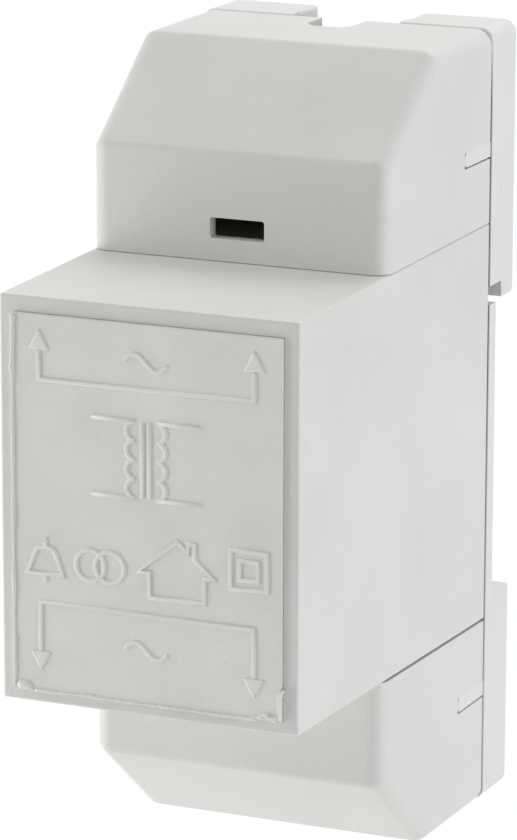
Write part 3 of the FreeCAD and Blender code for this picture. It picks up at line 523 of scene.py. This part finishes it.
def arc(centre: tuple[float, float], radius: tuple[float, float], start: float, end: float,
        count: int) -> np.ndarray:
    """Give points on an ellipse's arc.

    Args:
        centre: Middle (x, z).
        radius: Half axes along x and z.
        start: First angle in degrees.
        end: Last angle in degrees.
        count: Number of points.

    Returns:
        One point (x, z) to a row.
    """
    angle = np.radians(np.linspace(start, end, count))
    return np.stack([centre[0] + radius[0] * np.cos(angle), centre[1] + radius[1] * np.sin(angle)], axis=1)


def node_box(node: str) -> np.ndarray:
    """Give a CAD node's lowest and highest corner in millimetres."""
    return np.array([list(corner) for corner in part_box(node)]) / MM


# Sub-assemblies

@dataclass
class FrontPlate:
    """Plain raised signs on the front plate and the flash that its weld squeezed out."""

    line_width: float = 0.48
    line_height: float = 0.18
    line_flatness: float = 6.0
    sunk: float = 0.06
    arrow_across: float = 12.55
    arrow_half: float = 1.25
    arrow_length: float = 2.25
    upper_bar: float = 15.5
    upper_head: float = 18.7
    lower_bar: float = -9.2
    lower_head: float = -14.65
    sine_half: float = 2.6
    sine_height: float = 0.85
    sine_steps: int = 33
    upper_sine: float = 18.4
    lower_sine: float = -13.2
    sign_level: float = -4.4
    flash_step: float = 0.22
    flash_lump: float = 2.4
    flash_wander: float = 0.025
    flash_root: float = 0.47
    flash_flatness: float = 3.0
    flash_swell: float = 0.3
    flash_least: int = 9
    flash_across: int = 7
    thick_spot: float = 35.6
    seed: int = 11

    def __post_init__(self) -> None:
        """Read the plate's place from its CAD node."""
        low, high = node_box("front_plate")
        self.face = float(low[1])
        self.left, self.right = float(low[0]), float(high[0])
        self.foot, self.head = float(low[2]), float(high[2])

    def line(self, points: Sequence[Sequence[float]] | np.ndarray, closed: bool = False) -> Grid:
        """Raise one sign line of the usual width.

        Args:
            points: Places (x, z) along the line.
            closed: Whether the line is a loop.

        Returns:
            Points and faces of the line.
        """
        path = np.asarray(points, float)
        if not closed:
            path = eased_ends(path, self.line_width / 2)
        return ridge(path, self.face, self.line_width, self.line_height, self.sunk, self.line_flatness,
                     closed)

    def arrow_bracket(self, bar: float, head: float) -> list[Grid]:
        """Build a bar whose two ends turn towards a terminal cover and end in solid arrow heads.

        Args:
            bar: Height of the bar.
            head: Height of the arrow heads' base.

        Returns:
            The bracket's line and its two heads.
        """
        across, half = self.arrow_across, self.arrow_half
        towards = math.copysign(self.arrow_length, head - bar)
        parts = [self.line([(-across, head), (-across, bar), (across, bar), (across, head)])]
        for side in (-across, across):
            corners = np.array([(side - half, head), (side + half, head), (side, head + towards)])
            parts.append(plateau(corners, self.face, self.line_height, self.sunk))
        return parts

    def sine_sign(self, level: float) -> list[Grid]:
        """Build the sign for alternating current: one period of a sine.

        Args:
            level: Height of the sign's middle.

        Returns:
            The sign's line.
        """
        x = np.linspace(-1, 1, self.sine_steps)
        wave = np.stack([x * self.sine_half, level + self.sine_height * np.sin(-np.pi * x)], axis=1)
        return [self.line(wave)]

    def bell_sign(self, across: float = -11.95, rim: float = -5.95) -> list[Grid]:
        """Build a bell: straight flaring sides under an elliptical crown, with a stem and a clapper.

        Args:
            across: X of the bell's middle.
            rim: Height of its rim.

        Returns:
            The bell's outline, stem and clapper.
        """
        flare, shoulder, crown_size = 2.1, 2.3, (1.22, 0.68)
        stem_foot, stem_head, clapper_head, clapper_foot = 2.9, 4.05, 0.1, 0.95
        crown = arc((across, rim + shoulder), crown_size, 0, 180, 13)
        outline = np.concatenate([[(across - flare, rim), (across + flare, rim)], crown])
        stem = [(across, rim + stem_foot), (across, rim + stem_head)]
        clapper = [(across, rim - clapper_head), (across, rim - clapper_foot)]
        return [self.line(outline, closed=True), self.line(stem), self.line(clapper)]

    def house_sign(self, across: float = 3.6) -> list[Grid]:
        """Build a house for indoor use: two walls, a floor line, a roof with eaves and a chimney.

        Args:
            across: X of the house's middle.

        Returns:
            The house's outline.
        """
        wall, eave, floor, sill, apex = 3.2, 4.4, -7.1, -4.35, -0.65
        chimney_out, chimney_in, chimney_top, roof_out, roof_in = 2.1, 1.3, -0.75, -2.42, -1.75
        outline = [(across - wall, floor), (across + wall, floor), (across + wall, sill),
                   (across + eave, sill), (across + chimney_out, roof_out),
                   (across + chimney_out, chimney_top), (across + chimney_in, chimney_top),
                   (across + chimney_in, roof_in),
                   (across, apex), (across - eave, sill), (across - wall, sill)]
        return [self.line(outline, closed=True)]

    def ring_sign(self, across: float = -5.45, radius: float = 1.7, spread: float = 1.15) -> list[Grid]:
        """Build the sign for a transformer: two circles that overlap."""
        return [self.line(arc((across + side, self.sign_level), (radius, radius), 0, 350, 36), closed=True)
                for side in (-spread, spread)]

    def square_sign(self, across: float = 11.95, level: float = -2.9,
                    halves: tuple[float, float] = (2.1, 1.05)) -> list[Grid]:
        """Build the sign for double insulation: a square in a square."""
        return [self.line([(across - half, level - half), (across + half, level - half),
                           (across + half, level + half), (across - half, level + half)], closed=True)
                for half in halves]

    def coil_sign(self, level: float = 3.6, loops: int = 4, radius: float = 1.05) -> list[Grid]:
        """Build a circuit sign: two rows of half loops with two core lines between them.

        Args:
            level: Height of the sign's foot.
            loops: Number of half loops in a row.
            radius: Radius of a half loop.

        Returns:
            The loops, the core lines and the four ends.
        """
        row, core, tail = 1.25, 0.42, 5.2
        parts = []
        for side in (-1, 1):
            middle = side * row
            facing = (90, 270) if side < 0 else (90, -90)
            parts += [self.line(arc((middle, level + (2 * turn + 1) * radius), (radius, radius), *facing, 15))
                      for turn in range(loops)]
            parts.append(self.line([(side * core, level), (side * core, level + 2 * loops * radius)]))
            for end in (level, level + 2 * loops * radius):
                parts.append(self.line([(middle, end), (middle + side * tail, end)]))
        return parts

    def torn(self, knots: Sequence[tuple[float, float]], widths: Sequence[float], heights: Sequence[float],
             fray: float, draw: np.random.Generator) -> Grid:
        """Build one torn ridge along a line of knots.

        Width and height run straight from knot to knot and are multiplied by 1 + swell * slow + fray *
        fast, where slow joins random values a lump apart and fast is random at every point.

        Args:
            knots: Places (x, z) along the ridge.
            widths: Width at each knot.
            heights: Height over the plate at each knot.
            fray: Share of the fast roughness.
            draw: Source of the random values.

        Returns:
            Points and faces of the ridge.
        """
        corners = np.asarray(knots, float)
        run = np.concatenate([[0], np.cumsum(np.linalg.norm(np.diff(corners, axis=0), axis=1))])
        along = np.linspace(0, run[-1], max(self.flash_least, int(run[-1] / self.flash_step)))
        path = np.stack([np.interp(along, run, corners[:, axis]) for axis in (0, 1)], axis=1)
        lumps = np.arange(0, run[-1] + 2 * self.flash_lump, self.flash_lump)
        slow = np.interp(along, lumps, draw.uniform(-1, 1, len(lumps)))
        swell = 1 + self.flash_swell * slow + fray * draw.uniform(-1, 1, len(along))
        path = path + self.flash_wander * draw.uniform(-1, 1, path.shape)
        width = np.interp(along, run, widths) * swell
        height = np.interp(along, run, heights) * swell
        return ridge(path, self.face, width, height, self.flash_root, self.flash_flatness,
                     across=self.flash_across)

    def weld_flash(self) -> list[Grid]:
        """Build the torn ridges along the left and lower edges, a chip and a fin at the lower corners.

        Each ridge is a row of knots with its widths, its heights and its roughness.

        Returns:
            The ridges along both edges, the chip, the fin and the tufts beside it.
        """
        draw = np.random.default_rng(self.seed)
        left, right, foot, head = self.left, self.right, self.foot, self.head
        lump = foot + self.thick_spot
        side = self.torn([(left - 0.03, foot), (left - 0.03, lump - 0.9), (left - 0.14, lump),
                          (left - 0.03, lump + 0.8), (left + 0.05, head)],
                         (0.36, 0.36, 0.60, 0.38, 0.46), (0.26, 0.24, 0.32, 0.24, 0.30), 0.14, draw)
        lower = self.torn([(left + 2.2, foot - 0.05), (left + 8.7, foot), (left + 9.1, foot + 0.12),
                           (left + 9.5, foot), (right - 2.6, foot - 0.03)],
                          (0.44, 0.34, 0.52, 0.30, 0.36), (0.26, 0.22, 0.32, 0.18, 0.24), 0.30, draw)
        chip = self.torn([(left + 0.2, foot + 0.38), (left + 1.3, foot + 0.42), (left + 2.25, foot - 0.05)],
                         (0.90, 1.00, 0.35), (0.30, 0.34, 0.15), 0.10, draw)
        fin = self.torn([(right - 0.22, foot + 0.02), (right - 0.20, foot + 2.0), (right - 0.10, foot + 2.9),
                         (right + 0.24, foot + 3.7)], (0.38, 0.36, 0.40, 0.10), (0.40, 0.42, 0.44, 0.16),
                        0.08, draw)
        tufts = [self.torn([(right + start[0], foot + start[1]), (right + end[0], foot + end[1])],
                           (0.34, wide), (0.26, tall), 0.34, draw)
                 for start, end, wide, tall in (((-3.6, -0.02), (-1.8, 0.42), 0.50, 0.30),
                                                ((-2.7, 0.38), (-1.3, 0.72), 0.36, 0.34),
                                                ((-1.9, 0.55), (-0.3, 0.08), 0.62, 0.30),
                                                ((-1.3, 0.10), (-0.2, 0.45), 0.40, 0.24))]
        return [side, lower, chip, fin, *tufts]

    def build(self) -> None:
        """Make the signs and the flash."""
        signs = [*self.arrow_bracket(self.upper_bar, self.upper_head),
                 *self.arrow_bracket(self.lower_bar, self.lower_head),
                 *self.sine_sign(self.upper_sine), *self.sine_sign(self.lower_sine),
                 *self.bell_sign(), *self.ring_sign(), *self.house_sign(), *self.square_sign(),
                 *self.coil_sign()]
        # The signs' lighter colour is a painted highlight.
        make_piece("plate_signs", signs, SIGN_ABS_PAINTED_HIGHLIGHT)
        # The flash's whiter colour is partly a painted highlight.
        make_piece("plate_weld_flash", self.weld_flash(), FLASH_ABS)


@dataclass
class Case:
    """Housing, plate, covers and base, with the marks that the mould's gates left on the base."""

    gate_radius: float = 0.5
    gate_height: float = 0.07
    gate_root: float = 0.05
    gate_rings: int = 6
    gate_steps: int = 20
    gates: tuple[tuple[float, float], ...] = ((1.55, 28.55), (0.75, -24.65))

    def gate_mark(self, side: float, place: tuple[float, float]) -> Grid:
        """Build a low stub on the base's side: height * (1 - r^4) over a disc, with r from 0 to 1.

        Args:
            side: X of the base's side; its sign is the way the stub faces.
            place: Middle (y, z) of the stub.

        Returns:
            Points and faces of the stub.
        """
        r = np.concatenate([np.linspace(0, 1, self.gate_rings), [1, 0]])[:, None]
        angle = np.linspace(0, 2 * np.pi, self.gate_steps, endpoint=False)[None, :]
        on_top = np.arange(len(r))[:, None] < self.gate_rings
        rise = np.where(on_top, self.gate_height * (1 - r ** 4), -self.gate_root)
        x = np.broadcast_to(side + np.sign(side) * rise, (len(r), self.gate_steps))
        y = place[0] + self.gate_radius * r * np.cos(angle)
        z = place[1] + self.gate_radius * r * np.sin(angle)
        return np.stack([x, y, z], axis=2).reshape(-1, 3), grid_faces(len(r), self.gate_steps, False, True)

    def build(self) -> None:
        """Dress the outer pieces and add the gate marks."""
        dress(CASE_ABS, "main_housing", "upper_terminal_cover", "lower_terminal_cover")
        dress(PLATE_ABS, "front_plate")
        dress(BASE_ABS, "rear_base")
        low, high = node_box("rear_base")
        marks = [self.gate_mark(float(side), place) for side in (low[0], high[0]) for place in self.gates]
        # The gate marks take the whiter flash ABS as a painted highlight.
        make_piece("base_gate_marks", marks, FLASH_ABS)


@dataclass
class RailFixing:
    """Latch, its spring and the screws of the base."""

    travel: float
    spring_wire: float = 0.5
    spring_turns: float = 6.0
    closed_turns: float = 0.9
    turn_steps: int = 36
    wire_steps: int = 12

    def spring(self) -> None:
        """Wind the compression spring with closed end turns.

        The wire's middle line has the radius r and the height h(t) at the turn t, where h climbs one wire
        a turn over the closed ends and evenly between them. A circle of the wire's radius is carried along it
        in the plane of the outward direction and the binormal, and shrinks to a point at both ends.
        """
        low, high = node_box("latch_spring")
        middle, wire = (low + high) / 2, self.spring_wire
        radius = (high[0] - low[0] - wire) / 2
        climb = high[2] - low[2] - wire
        ends = self.closed_turns * wire
        t = np.linspace(0, self.spring_turns, int(self.spring_turns * self.turn_steps) + 1)
        knots = (0, self.closed_turns, self.spring_turns - self.closed_turns, self.spring_turns)
        height = low[2] + wire / 2 + np.interp(t, knots, (0, ends, climb - ends, climb))
        angle = 2 * np.pi * t
        outward = np.stack([np.cos(angle), np.sin(angle), np.zeros_like(angle)], axis=1)
        line = np.stack([middle[0] + radius * outward[:, 0], middle[1] + radius * outward[:, 1], height],
                        axis=1)
        ahead = np.gradient(line, axis=0)
        binormal = np.cross(ahead / np.linalg.norm(ahead, axis=1, keepdims=True), outward)
        around = np.linspace(0, 2 * np.pi, self.wire_steps, endpoint=False)
        thick = np.concatenate([[0], np.full(len(t), wire / 2), [0]])
        take = np.concatenate([[0], np.arange(len(t)), [len(t) - 1]])
        circle = (outward[take][:, None] * np.cos(around)[:, None]
                  + binormal[take][:, None] * np.sin(around)[:, None])
        points = line[take][:, None] + thick[:, None, None] * circle
        faces = grid_faces(len(take), len(around), False, True)
        coil = make_piece("latch_spring_coil", [(points.reshape(-1, 3), faces)], SPRING_STEEL)
        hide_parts("latch_spring")
        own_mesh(coil)

    def build(self) -> None:
        """Dress the pieces that hold the case together and on its rail."""
        dress(LATCH_ACETAL, "rail_latch")
        dress(ZINC_STEEL, "base_screws")
        self.spring()


@dataclass
class Winding:
    """Turns of enamelled wire that stand in for one winding's plain ring."""

    node: str
    wire: float
    corner: float = 2.0
    inner_corner: float = 0.2
    build_up: float = 3.0
    round_steps: int = 8
    turn_steps: int = 6

    def outline(self, half: np.ndarray, corner: float) -> np.ndarray:
        """Give a rounded rectangle round the bobbin, the same number of points for any size.

        Args:
            half: Half its size along x and z.
            corner: Radius of its corners.

        Returns:
            Points (x, z) in order.
        """
        quarters = [((1, 1), 0), ((-1, 1), 90), ((-1, -1), 180), ((1, -1), 270)]
        return np.concatenate([arc((sx * (half[0] - corner), sz * (half[1] - corner)), (corner, corner),
                                   start, start + 90, self.round_steps) for (sx, sz), start in quarters])

    def build(self) -> None:
        """Carry a row of round turns round the bobbin and close it by a plain inner wall.

        Along the winding the outer wall lies wire / 2 * (1 - |sin(pi * t)|) inside the ring's own outline,
        with t counting turns, so each turn shows as a half round.
        """
        low, high = node_box(self.node)
        middle = (low + high) / 2
        half = (high - low)[[0, 2]] / 2
        turns = int((high[1] - low[1]) / self.wire)
        t = np.linspace(0, turns, turns * self.turn_steps + 1)
        drop = self.wire / 2 * (1 - np.abs(np.sin(np.pi * t)))
        outer = self.outline(half, self.corner)
        inner = self.outline(half - self.build_up, self.inner_corner)
        away = (outer - inner) / np.linalg.norm(outer - inner, axis=1, keepdims=True)
        wall = outer[None] - away[None] * drop[:, None, None]
        rings = np.concatenate([wall, inner[None], inner[None]])
        along = np.concatenate([low[1] + t / turns * (high[1] - low[1]), [high[1], low[1]]])
        depth = np.broadcast_to(along[:, None], rings.shape[:2])
        points = np.stack([rings[:, :, 0] + middle[0], depth, rings[:, :, 1] + middle[2]], axis=2)
        faces = grid_faces(len(rings), len(outer), True, True)
        coil = make_piece(f"{self.node}_turns", [(points.reshape(-1, 3), faces)], ENAMEL_COPPER)
        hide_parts(self.node)


@dataclass
class Transformer:
    """Core, bobbin, windings, tape, cut-out and leads inside the housing."""

    primary_wire: float = 0.3
    secondary_wire: float = 0.7

    def build(self) -> None:
        """Dress the works inside and wind both windings."""
        dress(CORE_STEEL, "core_e_stack", "core_i_stack")
        dress(BOBBIN_NYLON, "bobbin")
        dress(FILM_TAPE, "primary_tape", "secondary_tape")
        dress(TINNED_PIN, "bobbin_pins")
        dress(CUTOUT_CERAMIC, "thermal_cutout")
        dress(LEAD_BLUE, "secondary_leads")
        dress(LEAD_BROWN, "primary_leads")
        Winding("primary_winding", self.primary_wire).build()
        Winding("secondary_winding", self.secondary_wire).build()


@dataclass
class Terminals:
    """Terminal blocks, clamps and clamp screws under both covers."""

    def build(self) -> None:
        """Dress the terminals at both ends."""
        for end in ("upper", "lower"):
            dress(BLOCK_NYLON, f"{end}_terminal_block")
            dress(CLAMP_BRASS, f"{end}_terminal_clamps")
            dress(ZINC_STEEL, f"{end}_terminal_screws")


def dress(finish: Finish, *nodes: str) -> None:
    """Give CAD nodes their finish.

    Args:
        finish: Material for the nodes.
        nodes: Names of the nodes.
    """
    for name in nodes:
        for holder in bpy.data.objects[name].material_slots:
            holder.material = finish.material()
        LOG.info("%s: %s", name, finish.name)


# Studio

# Colours of the lamps: the high left one is a trace warm, the low left and right ones a trace cool.
WARM_WHITE = "#ffffee"
COOL_WHITE = "#fbfdff"
# Matt paper: an off-white that sends soft light back to the part's underside.
PAPER_WHITE = "#f2f2f0"


@dataclass(frozen=True)
class Softbox:
    """One square soft light: its place and side in millimetres, its power in watts and its colour."""

    name: str
    place: tuple[float, float, float]
    size: float
    power: float
    colour: str = "#ffffff"


@dataclass
class Studio:
    """Camera at the photograph's angle, soft light from a white tent and a pale floor."""

    focal_px: float = 4715.8
    picture_height_px: int = 840
    sensor: float = 36.0
    yaw: float = 24.047
    pitch: float = 13.891
    roll: float = -0.14
    shift_right: float = -11.723
    shift_up: float = -10.017
    distance: float = 500.09
    aim: tuple[float, float, float] = (0.0, -54.9, 1.85)
    floor_level: float = -300.0
    floor_half: float = 6000.0
    tent_level: float = 0.15
    tent_up: float = 0.56
    clip_near: float = 10.0
    clip_far: float = 50000.0
    softboxes: tuple[Softbox, ...] = (
        Softbox("left_key", (-330.0, -230.0, -40.0), 120.0, 0.21),
        Softbox("low_left_softbox", (-330.0, -160.0, -230.0), 260.0, 0.62, COOL_WHITE),
        Softbox("high_left_softbox", (-420.0, -170.0, 240.0), 260.0, 0.62, WARM_WHITE),
        Softbox("right_softbox", (520.0, -40.0, 0.0), 420.0, 1.15, COOL_WHITE),
        Softbox("top_rear_softbox", (60.0, 300.0, 480.0), 420.0, 1.15),
        Softbox("rear_softbox", (-70.0, 520.0, -40.0), 160.0, 0.35))

    def place_camera(self) -> None:
        """Put the camera where the photograph was taken from.

        The camera's axes are the part's axes turned by yaw, pitch and roll. Its place is the point that
        lies at distance in front of the middle of the housing's front, moved by the two shifts.
        """
        yaw, pitch, roll = (math.radians(angle) for angle in (self.yaw, self.pitch, self.roll))
        level = Vector((math.cos(yaw), math.sin(yaw), 0))
        ahead = Vector((-math.sin(yaw) * math.cos(pitch), math.cos(yaw) * math.cos(pitch), -math.sin(pitch)))
        upright = Vector((-math.sin(yaw) * math.sin(pitch), math.cos(yaw) * math.sin(pitch), math.cos(pitch)))
        right = math.cos(roll) * level - math.sin(roll) * upright
        up = math.sin(roll) * level + math.cos(roll) * upright
        place = Vector(self.aim) - self.shift_right * right - self.shift_up * up - self.distance * ahead
        lens = bpy.data.cameras.new("view")
        lens.sensor_width = self.sensor
        lens.lens = self.focal_px * self.sensor / self.picture_height_px
        lens.clip_start = self.clip_near * MM
        lens.clip_end = self.clip_far * MM
        camera = bpy.data.objects.new("view", lens)
        turn = Matrix((right, up, -ahead)).transposed()
        camera.matrix_world = Matrix.Translation(place * MM) @ turn.to_4x4()
        bpy.context.scene.collection.objects.link(camera)
        bpy.context.scene.camera = camera

    def seen_directly(self, tree: bpy.types.NodeTree) -> bpy.types.NodeSocket:
        """Give 1 where a ray comes from the camera, a gloss or a glass, and 0 for plain light.

        Args:
            tree: Node tree of the floor or the world.

        Returns:
            The switch between light and background.
        """
        path = add_node(tree, "ShaderNodeLightPath")
        total = add_node(tree, "ShaderNodeMath", {"operation": "ADD"},
                         {0: path.outputs["Is Camera Ray"], 1: path.outputs["Is Glossy Ray"]})
        return add_node(tree, "ShaderNodeMath", {"operation": "ADD", "use_clamp": True},
                        {0: total.outputs[0], 1: path.outputs["Is Transmission Ray"]}).outputs[0]

    def hang_tent(self) -> None:
        """Light the part from all round: level + up * z for the direction (x, y, z)."""
        world = bpy.data.worlds.new("tent")
        bpy.context.scene.world = world
        world.use_nodes = True
        tree = world.node_tree
        tree.nodes.clear()
        way = add_node(tree, "ShaderNodeTexCoord").outputs["Generated"]
        slope = (0.0, 0.0, self.tent_up)
        lean = add_node(tree, "ShaderNodeVectorMath", {"operation": "DOT_PRODUCT"}, {0: way, 1: slope})
        level = add_node(tree, "ShaderNodeMath", {"operation": "ADD"},
                         {0: lean.outputs["Value"], 1: self.tent_level})
        soft = add_node(tree, "ShaderNodeBackground", {}, {"Color": PURE_WHITE, "Strength": level.outputs[0]})
        white = add_node(tree, "ShaderNodeBackground", {}, {"Color": PURE_WHITE, "Strength": 1.0})
        mix = add_node(tree, "ShaderNodeMixShader", {},
                       {0: self.seen_directly(tree), 1: soft.outputs[0], 2: white.outputs[0]})
        add_node(tree, "ShaderNodeOutputWorld", {}, {"Surface": mix.outputs[0]})

    def lay_floor(self) -> None:
        """Lay a pale floor well below the part, so that its shadow is soft."""
        half, level = self.floor_half * MM, self.floor_level * MM
        mesh = bpy.data.meshes.new("floor")
        corners = [(-half, -half, level), (half, -half, level), (half, half, level), (-half, half, level)]
        mesh.from_pydata(corners, [], [(0, 1, 2, 3)])
        paper = bpy.data.materials.new("pale_paper")
        paper.use_nodes = True
        tree = paper.node_tree
        tree.nodes.clear()
        matt = add_node(tree, "ShaderNodeBsdfDiffuse", {}, {"Color": linear(PAPER_WHITE)})
        glow = add_node(tree, "ShaderNodeEmission", {}, {"Color": PURE_WHITE, "Strength": 1.0})
        mix = add_node(tree, "ShaderNodeMixShader", {},
                       {0: self.seen_directly(tree), 1: matt.outputs[0], 2: glow.outputs[0]})
        add_node(tree, "ShaderNodeOutputMaterial", {}, {"Surface": mix.outputs[0]})
        mesh.materials.append(paper)
        floor = bpy.data.objects.new("floor", mesh)
        bpy.context.scene.collection.objects.link(floor)

    def hang(self, box: Softbox) -> None:
        """Hang one square soft light that looks at the part.

        Args:
            box: Name, place, size, power and colour of the light.
        """
        lamp = bpy.data.lights.new(box.name, "AREA")
        lamp.size = box.size * MM
        lamp.energy = box.power
        lamp.color = linear(box.colour)[:3]
        light = bpy.data.objects.new(box.name, lamp)
        spot = Vector(box.place) * MM
        light.matrix_world = Matrix.Translation(spot) @ spot.to_track_quat("Z", "Y").to_matrix().to_4x4()
        bpy.context.scene.collection.objects.link(light)

    def build(self) -> None:
        """Set up camera, light and floor."""
        bpy.context.scene.view_settings.view_transform = "Standard"
        self.place_camera()
        self.hang_tent()
        self.lay_floor()
        for box in self.softboxes:
            self.hang(box)


def main() -> None:
    """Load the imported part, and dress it."""
    logging.basicConfig(level=logging.INFO, format="%(name)s: %(message)s")
    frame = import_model()
    travel = frame["record"]["behaviour"]["joints"][0]["range_m"][1] / MM
    Case().build()
    FrontPlate().build()
    RailFixing(travel).build()
    Transformer().build()
    Terminals().build()
    Studio().build()
    bpy.context.view_layer.update()


if __name__ == "__main__":
    main()
